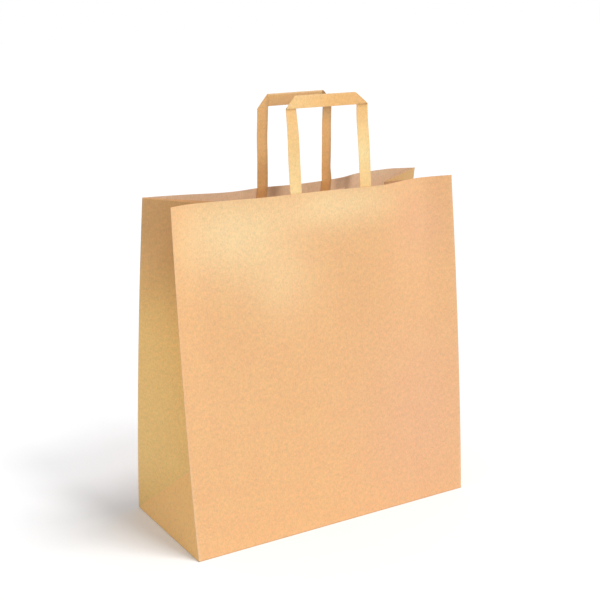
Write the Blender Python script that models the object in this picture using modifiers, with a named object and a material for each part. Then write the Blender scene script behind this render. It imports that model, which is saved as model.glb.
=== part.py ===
"""A brown paper carrier bag with a folded block bottom, side gussets and two flat paper handles.

Metres, +Z up. The origin is the centre of the folded bottom, on its underside.
+X runs along the bag's width and -Y is its front. The bag stands open, as it does after
being unfolded by hand: its mouth is narrower than its bottom and its rims are a little wavy.
"""

import math

import bmesh
import bpy
from mathutils import Vector

# The flat sheet and the folds that make the bag
WIDTH = 0.320
DEPTH = 0.140
HEIGHT = 0.343
PAPER = 0.00015
BOTTOM_LAYERS = 3
BOTTOM_MARGIN = 0.002
SEAM_WIDTH = 0.016
SEAM_FROM_EDGE = 0.022

# How far the four top corners have moved in over the bottom, and how that grows with height
FRONT_LEFT_INSET = 0.037
FRONT_RIGHT_INSET = 0.0276
BACK_LEFT_INSET = 0.0440
BACK_RIGHT_INSET = 0.0478
FRONT_LEFT_CURVE = 0.8
FRONT_RIGHT_CURVE = 1.2
BACK_LEFT_CURVE = 1.3
BACK_RIGHT_CURVE = 1.2

# The wave of each rim: (share of the half width, share of WAVE_DEPTH into the bag)
WAVE_DEPTH = 0.010
FRONT_WAVE = (
    (-1.00, 0.0),
    (-0.84, 0.90),
    (-0.62, 0.15),
    (-0.40, -0.65),
    (0.00, -0.85),
    (0.40, -1.35),
    (0.66, 0.20),
    (0.80, 0.80),
    (1.00, 0.0),
)
BACK_WAVE = (
    (-1.00, 0.0),
    (-0.75, 0.45),
    (-0.45, 1.05),
    (-0.20, 0.82),
    (0.05, 0.98),
    (0.38, 0.55),
    (0.55, -0.20),
    (0.80, -0.45),
    (1.00, 0.0),
)
WAVE_CURVE = 2.0
FRONT_RIM_TUCK = 0.0025
BACK_RIM_TUCK = 0.0015
TUCK_CURVE = 3.0
RACK = 0.0038

# The gussets: what share of their paper stands straight, and how far their crease sits back
LEFT_GUSSET_REACH = 1.0
RIGHT_GUSSET_REACH = 0.95
CREASE_SETBACK = 0.005

# The handles are flat strips of folded paper, glued under a patch inside each panel
STRIP_WIDTH = 0.012
STRIP_THICKNESS = 0.0006
HANDLE_PITCH = 0.0775
HANDLE_RISE = 0.0915
HANDLE_TUCK = 0.043
FRONT_HANDLE_OFFSET = 0.0065
BACK_HANDLE_OFFSET = 0.0035
FRONT_HANDLE_LEAN = math.radians(5.6)
BACK_HANDLE_LEAN = math.radians(-1.3)
PATCH_WIDTH = 0.128
PATCH_HEIGHT = 0.035
PATCH_DROP = 0.012
PATCH_EASE = 0.006
CLEARANCE = 0.0003

# How deep the middle of a leg lies behind the outer face of its panel
LEG_DEPTH = PAPER + CLEARANCE + STRIP_THICKNESS / 2

# How finely the folded sheets are divided
PANEL_COLUMNS = 26
LOWER_ROWS = 5
UPPER_ROWS = 14
GUSSET_COLUMNS = 3
FOLD_STEPS = 4
CLIMB_STEPS = 40

FRONT = -1
BACK = 1
LEFT = -1
RIGHT = 1
INSETS = {
    (FRONT, LEFT): FRONT_LEFT_INSET,
    (FRONT, RIGHT): FRONT_RIGHT_INSET,
    (BACK, LEFT): BACK_LEFT_INSET,
    (BACK, RIGHT): BACK_RIGHT_INSET,
}
CURVES = {
    (FRONT, LEFT): FRONT_LEFT_CURVE,
    (FRONT, RIGHT): FRONT_RIGHT_CURVE,
    (BACK, LEFT): BACK_LEFT_CURVE,
    (BACK, RIGHT): BACK_RIGHT_CURVE,
}
WAVES = {FRONT: FRONT_WAVE, BACK: BACK_WAVE}
RIM_TUCKS = {FRONT: FRONT_RIM_TUCK, BACK: BACK_RIM_TUCK}
REACHES = {LEFT: LEFT_GUSSET_REACH, RIGHT: RIGHT_GUSSET_REACH}
HANDLE_OFFSETS = {FRONT: FRONT_HANDLE_OFFSET, BACK: BACK_HANDLE_OFFSET}
HANDLE_LEANS = {FRONT: FRONT_HANDLE_LEAN, BACK: BACK_HANDLE_LEAN}


def clear_scene():
    for obj in list(bpy.data.objects):
        bpy.data.objects.remove(obj, do_unlink=True)


def make_material(name, colour, roughness):
    material = bpy.data.materials.new(name)
    material.use_nodes = True
    shader = material.node_tree.nodes["Principled BSDF"]
    shader.inputs["Base Color"].default_value = (*colour, 1.0)
    shader.inputs["Roughness"].default_value = roughness
    shader.inputs["Metallic"].default_value = 0.0
    return material


def smooth_through(points, place):
    """The height at place of a smooth line through the points."""
    last = len(points) - 2
    index = 0
    while index < last and place > points[index + 1][0]:
        index += 1
    x0, y0 = points[index]
    x1, y1 = points[index + 1]
    before = points[max(index - 1, 0)]
    after = points[min(index + 2, len(points) - 1)]
    slope0 = (y1 - before[1]) / (x1 - before[0])
    slope1 = (after[1] - y0) / (after[0] - x0)
    span = x1 - x0
    t = (place - x0) / span
    rise = (2 * t**3 - 3 * t**2 + 1) * y0 + (3 * t**2 - 2 * t**3) * y1
    bend = (t**3 - 2 * t**2 + t) * slope0 + (t**3 - t**2) * slope1
    return rise + bend * span


def panel_plan(panel, across, up):
    """Where the sheet at (across, up) lies, seen from above."""
    share = up / HEIGHT
    side = 2 * across / WIDTH
    left = INSETS[panel, LEFT] * share ** CURVES[panel, LEFT]
    right = INSETS[panel, RIGHT] * share ** CURVES[panel, RIGHT]
    inset = left + (right - left) * (side + 1) / 2
    inset += WAVE_DEPTH * smooth_through(WAVES[panel], side) * share**WAVE_CURVE
    x = across - side * RIM_TUCKS[panel] * share**TUCK_CURVE - RACK * share
    return Vector((x, panel * (DEPTH / 2 - inset)))


def climb(plan, start, stop):
    """The height gained by paper that keeps its length while it follows plan."""
    step = (stop - start) / CLIMB_STEPS
    gained = 0.0
    here = plan(start)
    for index in range(CLIMB_STEPS):
        there = plan(start + step * (index + 1))
        gained += math.sqrt(max(step**2 - (there - here).length_squared, 0.0))
        here = there
    return gained


def panel_point(panel, across, up):
    """The outer face of a panel, at a distance across and up its flat sheet."""
    plan = panel_plan(panel, across, up)
    height = climb(lambda s: panel_plan(panel, across, s), 0.0, up)
    return Vector((plan.x, plan.y, height))


def leg_places(panel):
    """The two legs' middles, across the flat sheet of their panel."""
    return [HANDLE_OFFSETS[panel] + side * HANDLE_PITCH / 2 for side in (LEFT, RIGHT)]


def seam_edges():
    """Where the glued overlap of the back panel starts and ends across the sheet."""
    end = WIDTH / 2 - SEAM_FROM_EDGE
    return end - SEAM_WIDTH, end


def panel_columns(panel):
    """The columns of a panel: even ones, the edges of its seam, and those that its legs lie on."""
    spacing = WIDTH / PANEL_COLUMNS
    columns = [spacing * (index - PANEL_COLUMNS / 2) for index in range(PANEL_COLUMNS + 1)]
    spans = [(leg - STRIP_WIDTH / 2, leg, leg + STRIP_WIDTH / 2) for leg in leg_places(panel)]
    if panel == BACK:
        start, end = seam_edges()
        spans.append((start - CLEARANCE, start, end, end + CLEARANCE))
    for span in spans:
        columns = [x for x in columns if x < span[0] - spacing / 4 or x > span[-1] + spacing / 4]
    for span in spans:
        columns += span
    return sorted(columns)


def facet_point(panel, across, up):
    """The outer face of a panel as its flat facets give it, between two of its columns."""
    columns = panel_columns(panel)
    index = 0
    while index < len(columns) - 2 and across > columns[index + 1]:
        index += 1
    share = (across - columns[index]) / (columns[index + 1] - columns[index])
    start = panel_point(panel, columns[index], up)
    return start.lerp(panel_point(panel, columns[index + 1], up), share)


def inside_point(panel, across, up, depth):
    """A point that lies depth inwards from the outer face of a panel."""
    step = STRIP_WIDTH / 12
    left = facet_point(panel, across - step, up)
    right = facet_point(panel, across + step, up)
    along = (right - left).normalized()
    rise = facet_point(panel, across, up) - facet_point(panel, across, up - step)
    inward = along.cross(rise).normalized() * panel
    return facet_point(panel, across, up) + inward * depth


def crease_plan(side, up):
    """Where the gusset's middle crease lies, seen from above."""
    front = panel_plan(FRONT, side * WIDTH / 2, up)
    back = panel_plan(BACK, side * WIDTH / 2, up)
    half_gap = (back - front).length / 2
    reach = math.sqrt(max((DEPTH / 2) ** 2 - half_gap**2, 0.0))
    above = (up - DEPTH / 2) / (HEIGHT - DEPTH / 2)
    reach *= 1 + (REACHES[side] - 1) * above
    middle = (front + back) / 2
    return Vector((middle.x - side * reach, middle.y + CREASE_SETBACK * above))


def apex_point(side):
    """The top of the triangle at the foot of a gusset, where its diagonal creases meet."""
    plan = crease_plan(side, DEPTH / 2)
    diagonal = DEPTH / math.sqrt(2)
    heights = []
    for panel in (FRONT, BACK):
        corner = Vector((side * WIDTH / 2, panel * DEPTH / 2))
        heights.append(math.sqrt(diagonal**2 - (plan - corner).length_squared))
    return Vector((plan.x, plan.y, sum(heights) / 2))


def crease_point(side, up):
    plan = crease_plan(side, up)
    height = climb(lambda s: crease_plan(side, s), DEPTH / 2, up)
    return Vector((plan.x, plan.y, apex_point(side).z + height))


def between(start, end, count):
    """The points that divide start to end into count equal parts, ends included."""
    return [start.lerp(end, index / count) for index in range(count + 1)]


def gusset_row(side, up):
    """One level of a gusset, from the front panel's edge to the back panel's."""
    front = panel_point(FRONT, side * WIDTH / 2, up)
    back = panel_point(BACK, side * WIDTH / 2, up)
    if up >= DEPTH / 2:
        fold_front = crease_point(side, up)
        fold_back = fold_front
        middle = [fold_front] * (2 * GUSSET_COLUMNS)
    else:
        apex = apex_point(side)
        rise = up / (DEPTH / 2)
        fold_front = Vector((side * WIDTH / 2, -DEPTH / 2, 0.0)).lerp(apex, rise)
        fold_back = Vector((side * WIDTH / 2, DEPTH / 2, 0.0)).lerp(apex, rise)
        middle = between(fold_front, fold_back, 2 * GUSSET_COLUMNS)[1:]
    row = between(front, fold_front, GUSSET_COLUMNS)[:-1] + [fold_front] + middle
    row += between(fold_back, back, GUSSET_COLUMNS)[1:]
    return row


class Sheet:
    """An open surface whose faces share the points that lie in one place."""

    def __init__(self):
        self.mesh = bmesh.new()
        self.found = {}

    def vertex(self, point):
        key = tuple(round(value * 1e6) for value in point)
        if key not in self.found:
            self.found[key] = self.mesh.verts.new(point)
        return self.found[key]

    def rows(self, rows):
        """Faces between neighbouring rows of points. Corners that coincide close up."""
        for lower, upper in zip(rows, rows[1:]):
            for index in range(len(lower) - 1):
                corners = [lower[index], lower[index + 1], upper[index + 1], upper[index]]
                ring = []
                for corner in corners:
                    vertex = self.vertex(corner)
                    if vertex not in ring:
                        ring.append(vertex)
                if len(ring) > 2:
                    self.mesh.faces.new(ring)

    def finish(self, name, material, collection):
        bmesh.ops.recalc_face_normals(self.mesh, faces=self.mesh.faces[:])
        data = bpy.data.meshes.new(name)
        self.mesh.to_mesh(data)
        self.mesh.free()
        data.materials.append(material)
        obj = bpy.data.objects.new(name, data)
        collection.objects.link(obj)
        return obj


def turn_to_face(obj, direction, below=math.inf):
    """Turns the surface over if its faces whose centres lie below a height look away."""
    total = Vector((0.0, 0.0, 0.0))
    for polygon in obj.data.polygons:
        if polygon.center.z < below:
            total += polygon.normal * polygon.area
    if total.dot(Vector(direction)) < 0:
        obj.data.flip_normals()


def give_thickness(obj, thickness, offset):
    modifier = obj.modifiers.new("paper thickness", "SOLIDIFY")
    modifier.thickness = thickness
    modifier.offset = offset
    modifier.use_even_offset = True
    return modifier


def make_body(material, collection):
    """The folded sheet: two panels, two gussets and a block bottom, in one piece."""
    rise = HEIGHT - DEPTH / 2
    levels = [DEPTH / 2 * index / LOWER_ROWS for index in range(LOWER_ROWS)]
    levels += [DEPTH / 2 + rise * index / UPPER_ROWS for index in range(UPPER_ROWS + 1)]
    sheet = Sheet()
    layers = sheet.mesh.verts.layers.deform.verify()
    panels = {}
    for panel in (FRONT, BACK):
        columns = panel_columns(panel)
        panels[panel] = [[panel_point(panel, across, up) for across in columns] for up in levels]
        sheet.rows(panels[panel])
    gussets = {}
    for side in (LEFT, RIGHT):
        gussets[side] = [gusset_row(side, up) for up in levels]
        sheet.rows(gussets[side])

    outline = panels[FRONT][0][:-1] + gussets[RIGHT][0][:-1]
    outline += panels[BACK][0][:0:-1] + gussets[LEFT][0][:0:-1]
    ring = []
    for point in outline:
        vertex = sheet.vertex(point)
        if vertex not in ring:
            ring.append(vertex)
    bottom = sheet.mesh.faces.new(ring)
    bottom.normal_update()

    for vertex in sheet.mesh.verts:
        vertex[layers][0] = 1 / BOTTOM_LAYERS
    start, end = seam_edges()
    for row in panels[BACK]:
        for point, across in zip(row, panel_columns(BACK)):
            if start <= across <= end:
                sheet.vertex(point)[layers][0] = 2 / BOTTOM_LAYERS
    bmesh.ops.inset_region(sheet.mesh, faces=[bottom], thickness=BOTTOM_MARGIN)
    for vertex in bottom.verts:
        vertex[layers][0] = 1.0

    body = sheet.finish("bag_body", material, collection)
    body.vertex_groups.new(name="layers of paper")
    turn_to_face(body, (0, 0, -1), below=PAPER)
    thickness = give_thickness(body, PAPER * BOTTOM_LAYERS, -1)
    thickness.vertex_group = "layers of paper"
    return body


def handle_frame(panel):
    """The plane of a handle above the rim: a start, a direction across, one up and one out."""
    legs = leg_places(panel)
    start, end = [inside_point(panel, across, HEIGHT, LEG_DEPTH) for across in legs]
    across = (end - start) / (legs[1] - legs[0])
    lean = HANDLE_LEANS[panel]
    up = Vector((0.0, math.sin(lean), math.cos(lean)))
    outward = across.cross(up).normalized() * -panel
    return start - across * legs[0], across, up, outward


def fold_rows(panel, frame, side):
    """A corner of the strip: a fold at 45 degrees that turns a leg into the bar."""
    origin, across, up, outward = frame
    leg = leg_places(panel)[0 if side == LEFT else 1]
    outer = leg + side * STRIP_WIDTH / 2
    low = HANDLE_RISE - STRIP_WIDTH
    layers_apart = STRIP_THICKNESS + CLEARANCE
    away = (across * side + up) / math.sqrt(2)
    rows = []
    for step in range(FOLD_STEPS + 1):
        angle = math.pi * step / FOLD_STEPS
        shift = outward * (1 - math.cos(angle)) * layers_apart / 2
        shift += away * math.sin(angle) * layers_apart / 2
        row = []
        for share in (0.0, 0.5, 1.0):
            place = outer - side * share * STRIP_WIDTH
            row.append(origin + across * place + up * (low + share * STRIP_WIDTH) + shift)
        rows.append(row)
    return rows


def leg_rows(panel, frame, side):
    """One leg, from its end under the patch to its fold."""
    origin, across, up, _ = frame
    leg = leg_places(panel)[0 if side == LEFT else 1]
    places = [leg + side * STRIP_WIDTH * (0.5 - share) for share in (0.0, 0.5, 1.0)]
    rows = []
    for index in range(5):
        level = HEIGHT - HANDLE_TUCK * (1 - index / 4)
        rows.append([inside_point(panel, place, level, LEG_DEPTH) for place in places])
    low = HANDLE_RISE - STRIP_WIDTH
    for height in (0.05 * low, 0.25 * low, 0.5 * low, 0.75 * low, 0.95 * low):
        rows.append([origin + across * place + up * height for place in places])
    return rows


def make_handle(name, panel, material, collection):
    """One handle: a single strip that runs up, along the bar and down again."""
    frame = handle_frame(panel)
    left = leg_rows(panel, frame, LEFT) + fold_rows(panel, frame, LEFT)
    right = leg_rows(panel, frame, RIGHT) + fold_rows(panel, frame, RIGHT)
    ends = list(zip(left[-1], right[-1]))
    bar = [[start.lerp(end, share) for start, end in ends] for share in (0.25, 0.5, 0.75)]
    sheet = Sheet()
    sheet.rows(left + bar + right[::-1])
    handle = sheet.finish(name, material, collection)
    give_thickness(handle, STRIP_THICKNESS, 0)
    return handle


def make_patch(name, panel, material, collection):
    """The glued patch over the ends of a handle. It stands off where the legs lie under it."""
    near = PAPER + CLEARANCE
    far = near + STRIP_THICKNESS + CLEARANCE
    legs = leg_places(panel)
    low = HANDLE_OFFSETS[panel] - PATCH_WIDTH / 2
    high = low + PATCH_WIDTH
    columns = [low, high] + [x for x in panel_columns(panel) if low < x < high]
    for leg in legs:
        for side in (LEFT, RIGHT):
            flat_edge = leg + side * (STRIP_WIDTH / 2 + CLEARANCE)
            columns += [flat_edge, flat_edge + side * PATCH_EASE]
    rows = []
    for index in range(4):
        level = HEIGHT - PATCH_DROP - PATCH_HEIGHT * (1 - index / 3)
        row = []
        for across in sorted(columns):
            beyond = min(abs(across - leg) for leg in legs) - STRIP_WIDTH / 2 - CLEARANCE
            ease = min(max(beyond / PATCH_EASE, 0.0), 1.0)
            row.append(inside_point(panel, across, level, far + (near - far) * ease))
        rows.append(row)
    sheet = Sheet()
    sheet.rows(rows)
    patch = sheet.finish(name, material, collection)
    turn_to_face(patch, (0, panel, 0))
    give_thickness(patch, PAPER, -1)
    return patch


def main():
    clear_scene()
    collection = bpy.data.collections.new("paper carrier bag")
    bpy.context.scene.collection.children.link(collection)
    kraft = make_material("kraft paper", (0.80, 0.49, 0.23), 0.75)
    strip = make_material("handle strip", (0.85, 0.56, 0.27), 0.70)
    plain = make_material("patch paper", (0.72, 0.45, 0.22), 0.80)
    make_body(kraft, collection)
    make_handle("front_handle", FRONT, strip.copy(), collection)
    make_handle("back_handle", BACK, strip, collection)
    make_patch("front_handle_patch", FRONT, plain.copy(), collection)
    make_patch("back_handle_patch", BACK, plain, collection)


main()
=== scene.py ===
# %% [markdown]
# # A brown paper carrier bag
# The bag is one sheet of kraft paper, folded and glued into a tube with a pleat in each side and
# a block bottom. Two flat handles of folded paper are glued inside its rims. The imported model
# gives the sizes. This lesson makes each piece again as paper: thin, a little wavy, and scored
# where it folds.

# %% Load the frame
import math
import bmesh
import bpy
import numpy as np
from mathutils import Matrix, Vector, noise


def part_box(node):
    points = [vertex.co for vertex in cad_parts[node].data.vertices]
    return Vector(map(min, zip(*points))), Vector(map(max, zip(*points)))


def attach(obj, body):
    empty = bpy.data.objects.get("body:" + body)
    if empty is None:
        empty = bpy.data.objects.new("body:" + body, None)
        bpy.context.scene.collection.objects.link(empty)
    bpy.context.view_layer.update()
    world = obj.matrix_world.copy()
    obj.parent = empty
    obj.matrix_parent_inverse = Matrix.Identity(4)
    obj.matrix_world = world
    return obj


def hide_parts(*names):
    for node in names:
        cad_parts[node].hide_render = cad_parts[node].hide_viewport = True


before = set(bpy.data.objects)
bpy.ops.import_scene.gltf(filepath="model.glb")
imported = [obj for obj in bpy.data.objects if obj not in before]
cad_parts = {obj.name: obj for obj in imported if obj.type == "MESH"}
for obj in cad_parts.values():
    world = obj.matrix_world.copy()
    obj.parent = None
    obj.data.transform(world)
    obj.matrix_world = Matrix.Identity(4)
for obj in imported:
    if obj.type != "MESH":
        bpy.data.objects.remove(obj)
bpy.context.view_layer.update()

# %% [markdown]
# ## The flat sheet
# A paper bag keeps its lengths when it is folded, so its flat sizes say almost everything. The
# bottom is as wide and as deep as the body at its foot. The sheet's height is longer than the
# bag stands tall, because the panels lean inwards. All sizes are in metres.

# %% Sizes of the sheet
BODY_LOW, BODY_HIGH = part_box("bag_body")
WIDTH = 0.320
DEPTH = 0.140
HEIGHT = 0.343
PAPER = 0.00015
PERIMETER = 2 * (WIDTH + DEPTH)
FRONT, BACK = -1, 1
LEFT, RIGHT = -1, 1
print("body stands", round(BODY_HIGH[2] - BODY_LOW[2], 4), "high from", HEIGHT, "of paper")

# %% [markdown]
# ## The shape that the bag stands in
# A bag that was opened by hand is narrower at its mouth, and its rims wave. The wave is given by
# a few points across each rim, with a smooth line through them, and it dies away downwards. The
# same rule places every point of the paper, so handles and patches can follow the panels.

# %% A smooth line through points
RIM_WAVES = {
    FRONT: ((-1.0, 0.0), (-0.84, 0.0090), (-0.62, 0.0015), (-0.40, -0.0065), (0.0, -0.0085),
            (0.40, -0.0135), (0.66, 0.0020), (0.80, 0.0080), (1.0, 0.0)),
    BACK: ((-1.0, 0.0), (-0.75, 0.0045), (-0.45, 0.0105), (-0.20, 0.0082), (0.05, 0.0098),
           (0.38, 0.0055), (0.55, -0.0020), (0.80, -0.0045), (1.0, 0.0)),
}


def smooth_line(points, place):
    xs, ys = np.array(points).T
    slopes = np.empty(len(xs))
    slopes[1:-1] = (ys[2:] - ys[:-2]) / (xs[2:] - xs[:-2])
    slopes[0] = (ys[1] - ys[0]) / (xs[1] - xs[0])
    slopes[-1] = (ys[-1] - ys[-2]) / (xs[-1] - xs[-2])
    i = np.clip(np.searchsorted(xs, place, side="left") - 1, 0, len(xs) - 2)
    span = xs[i + 1] - xs[i]
    t = (place - xs[i]) / span
    rise = (2 * t**3 - 3 * t**2 + 1) * ys[i] + (3 * t**2 - 2 * t**3) * ys[i + 1]
    bend = (t**3 - 2 * t**2 + t) * slopes[i] + (t**3 - t**2) * slopes[i + 1]
    return rise + bend * span


print("front rim's wave at its middle", round(float(smooth_line(RIM_WAVES[FRONT], np.array(0.0))), 4))

# %% A panel seen from above, and its height
CORNER_INSETS = {(FRONT, LEFT): 0.037, (FRONT, RIGHT): 0.0276, (BACK, LEFT): 0.0440, (BACK, RIGHT): 0.0478}
INSET_CURVES = {(FRONT, LEFT): 0.8, (FRONT, RIGHT): 1.2, (BACK, LEFT): 1.3, (BACK, RIGHT): 1.2}
RIM_TUCKS = {FRONT: 0.0025, BACK: 0.0015}
RACK = 0.0038
CLIMB_STEPS = 40


def panel_plan(panel, across, up):
    share = up / HEIGHT
    side = 2 * across / WIDTH
    left = CORNER_INSETS[panel, LEFT] * share ** INSET_CURVES[panel, LEFT]
    right = CORNER_INSETS[panel, RIGHT] * share ** INSET_CURVES[panel, RIGHT]
    inset = left + (right - left) * (side + 1) / 2
    inset = inset + smooth_line(RIM_WAVES[panel], side) * share**2
    x = across - side * RIM_TUCKS[panel] * share**3 - RACK * share
    return np.stack([x, panel * (DEPTH / 2 - inset)], axis=-1)


def climb(plan, start, stop):
    """The height that paper gains while it follows plan from start to stop."""
    step = (stop - start) / CLIMB_STEPS
    gained = np.zeros_like(stop)
    here = plan(start)
    for index in range(CLIMB_STEPS):
        there = plan(start + step * (index + 1))
        moved = ((there - here) ** 2).sum(axis=-1)
        gained += np.sqrt(np.maximum(step**2 - moved, 0.0))
        here = there
    return gained


def panel_place(panel, across, up):
    across, up = np.broadcast_arrays(np.asarray(across, float), np.asarray(up, float))
    plan = panel_plan(panel, across, up)
    height = climb(lambda s: panel_plan(panel, across, s), np.zeros(up.shape), up.copy())
    return np.concatenate([plan, height[..., None]], axis=-1)


print("front rim's left end", panel_place(FRONT, -WIDTH / 2, HEIGHT).round(4))

# %% [markdown]
# ## How a side pleat folds
# Each side has a middle crease that folds inwards. Near the foot the crease ends at a point, and
# two diagonal creases run from it to the corners of the bottom, which leaves a flat triangle.
# The pleat is made of straight spans between the panels' edges and those creases.

# %% The gusset's crease and triangle
GUSSET_REACH = {LEFT: 1.0, RIGHT: 0.95}
CREASE_SETBACK = 0.005


def crease_plan(side, up):
    front = panel_plan(FRONT, side * WIDTH / 2, up)
    back = panel_plan(BACK, side * WIDTH / 2, up)
    half_gap = np.sqrt(((back - front) ** 2).sum(axis=-1)) / 2
    above = (up - DEPTH / 2) / (HEIGHT - DEPTH / 2)
    reach = np.sqrt(np.maximum((DEPTH / 2) ** 2 - half_gap**2, 0.0))
    reach = reach * (1 + (GUSSET_REACH[side] - 1) * above)
    middle = (front + back) / 2
    return np.stack([middle[..., 0] - side * reach, middle[..., 1] + CREASE_SETBACK * above], axis=-1)


def apex_place(side):
    plan = crease_plan(side, np.array(DEPTH / 2))
    corners = np.array([[side * WIDTH / 2, panel * DEPTH / 2] for panel in (FRONT, BACK)])
    heights = np.sqrt(DEPTH**2 / 2 - ((plan - corners) ** 2).sum(axis=-1))
    return np.array([plan[0], plan[1], heights.mean()])


def crease_place(side, up):
    plan = crease_plan(side, up)
    height = climb(lambda s: crease_plan(side, s), np.full(up.shape, DEPTH / 2), up.copy())
    return np.concatenate([plan, apex_place(side)[2] + height[..., None]], axis=-1)


def blend(start, end, share):
    return start + (end - start) * np.clip(share, 0.0, 1.0)[..., None]


def gusset_place(side, away, up):
    """away is the distance across the gusset's paper, from the front panel's edge."""
    front = panel_place(FRONT, side * WIDTH / 2, up)
    back = panel_place(BACK, side * WIDTH / 2, up)
    half = DEPTH / 2
    crease = crease_place(side, np.maximum(up, half))
    front_half = blend(front, crease, away / half)
    back_half = blend(crease, back, away / half - 1)
    upper = np.where((away < half)[:, None], front_half, back_half)
    rise = np.clip(up / half, 0.0, 1.0)
    apex = apex_place(side)
    fold_front = blend(np.array([side * WIDTH / 2, -half, 0.0]), apex, rise)
    fold_back = blend(np.array([side * WIDTH / 2, half, 0.0]), apex, rise)
    wing = np.maximum(up, 1e-9)
    middle = np.maximum(DEPTH - 2 * up, 1e-9)
    lower = blend(fold_front, fold_back, (away - up) / middle)
    front_wing = blend(front, fold_front, away / wing)
    back_wing = blend(fold_back, back, (away - DEPTH + up) / wing)
    lower = np.where((away < up)[:, None], front_wing, lower)
    lower = np.where((away > DEPTH - up)[:, None], back_wing, lower)
    return np.where((up < half)[:, None], lower, upper)


for side, name in ((LEFT, "left"), (RIGHT, "right")):
    print(name, "triangle's top", apex_place(side).round(4))

# %% A point inside a panel
def panel_inward(panel, across, up):
    """The direction into the bag, square to the panel."""
    step = 0.001
    along = panel_place(panel, across + step, up) - panel_place(panel, across - step, up)
    rise = panel_place(panel, across, up) - panel_place(panel, across, up - step)
    inward = np.cross(along, rise) * panel
    return inward / np.linalg.norm(inward, axis=-1, keepdims=True)


def inside_place(panel, across, up, depth):
    depth = np.broadcast_to(np.asarray(depth, float), np.shape(across))
    return panel_place(panel, across, up) + panel_inward(panel, across, up) * depth[..., None]


print("into the bag from the front", panel_inward(FRONT, np.array([0.0]), np.array([0.2])).round(3))

# %% [markdown]
# ## Camera
# A normal lens stands a little over a metre away, above the rim and to the left of the front.
# It is written as a place and three directions, which is exact and needs no aiming.

# %% Camera
CAMERA_PLACE = (-0.62318, -1.01643, 0.57150)
LOOK_RIGHT = Vector((0.853695, -0.520774, -0.000709))
LOOK_UP = Vector((0.147675, 0.240773, 0.959281))
LOOK_ALONG = Vector((0.499397, 0.819038, -0.282452))

camera_data = bpy.data.cameras.new("camera")
camera_data.sensor_width = 36.0
camera_data.lens = 72.896


def add_object(name, data):
    piece = bpy.data.objects.new(name, data)
    bpy.context.scene.collection.objects.link(piece)
    return piece


camera = add_object("camera", camera_data)
turn = Matrix((LOOK_RIGHT, LOOK_UP, -LOOK_ALONG)).transposed().to_4x4()
camera.matrix_world = Matrix.Translation(CAMERA_PLACE) @ turn
bpy.context.scene.camera = camera
print("lens", camera_data.lens, "mm")

# %% [markdown]
# ## Shader node helpers
# A material is a tree of nodes. One short helper adds a node with its settings, and another
# joins two sockets, so that each tree below reads like a recipe. The others map a range, start a
# node group, place one, and add up several sources with their factors.

# %% Node helpers
def add_node(tree, kind, **settings):
    node = tree.nodes.new(kind)
    for name, value in settings.items():
        setattr(node, name, value)
    return node


def join(tree, source, target):
    tree.links.new(source, target)


def map_range(tree, source, low=0.0, high=1.0, to_low=0.0, to_high=1.0):
    """Spreads the values from low to high over to_low to to_high."""
    node = add_node(tree, "ShaderNodeMapRange")
    for label, value in (("From Min", low), ("From Max", high), ("To Min", to_low), ("To Max", to_high)):
        node.inputs[label].default_value = value
    join(tree, source, node.inputs["Value"])
    return node


def start_group(name, inputs, outputs):
    """A node group whose sockets are (name, kind, default). Returns tree, input node, output node."""
    tree = bpy.data.node_groups.new(name, "ShaderNodeTree")
    for label, kind, default in inputs:
        socket = tree.interface.new_socket(name=label, in_out="INPUT", socket_type=kind)
        if default is not None:
            socket.default_value = default
    for label, kind in outputs:
        tree.interface.new_socket(name=label, in_out="OUTPUT", socket_type=kind)
    return tree, tree.nodes.new("NodeGroupInput"), tree.nodes.new("NodeGroupOutput")


def place_group(tree, group, **values):
    node = tree.nodes.new("ShaderNodeGroup")
    node.node_tree = group
    for name, value in values.items():
        node.inputs[name.replace("_", " ")].default_value = value
    return node


def add_up(tree, terms, start):
    """start plus every source times its factor."""
    total = start
    for source, factor in terms:
        part = add_node(tree, "ShaderNodeMath", operation="MULTIPLY_ADD")
        join(tree, source, part.inputs[0])
        part.inputs[1].default_value = factor
        if isinstance(total, float):
            part.inputs[2].default_value = total
        else:
            join(tree, total, part.inputs[2])
        total = part.outputs[0]
    return total


print("helpers", [helper.__name__ for helper in (add_node, map_range, start_group, place_group, add_up)])

# %% [markdown]
# ## Light
# The paper is lit by a white room and two soft lamps at the front right, one lower and one high.
# Such light shows folds by their shade alone. The room and the floor together give about as much
# light as makes a colour render as it is written, and the lamps add the shadow.

# %% Room and lamps
scene = bpy.context.scene
scene.view_settings.view_transform = "Standard"
ROOM_LEVEL = 0.555

world = bpy.data.worlds.new("room")
scene.world = world
world.use_nodes = True
room_tree = world.node_tree
room = room_tree.nodes["Background"]
room.inputs["Color"].default_value = (1.0, 1.0, 1.0, 1.0)
path = add_node(room_tree, "ShaderNodeLightPath")
seen = add_node(room_tree, "ShaderNodeMath", operation="MAXIMUM")
join(room_tree, path.outputs["Is Camera Ray"], seen.inputs[0])
join(room_tree, path.outputs["Is Glossy Ray"], seen.inputs[1])
level = map_range(room_tree, seen.outputs[0], to_low=ROOM_LEVEL)
join(room_tree, level.outputs["Result"], room.inputs["Strength"])


def add_lamp(name, azimuth, elevation, softness, level):
    """A far, wide lamp. Azimuth is to the right of the front, and level is the light on a square face."""
    a, e = math.radians(azimuth), math.radians(elevation)
    away = Vector((math.sin(a) * math.cos(e), -math.cos(a) * math.cos(e), math.sin(e)))
    data = bpy.data.lights.new(name, "SUN")
    data.angle = math.radians(softness)
    data.energy = level * math.pi
    add_object(name, data).rotation_euler = away.to_track_quat("Z", "Y").to_euler()


add_lamp("key_lamp", 18, 52, 11, 0.21)
add_lamp("high_lamp", 46, 66, 17, 0.395)
print("room level", ROOM_LEVEL)

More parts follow.
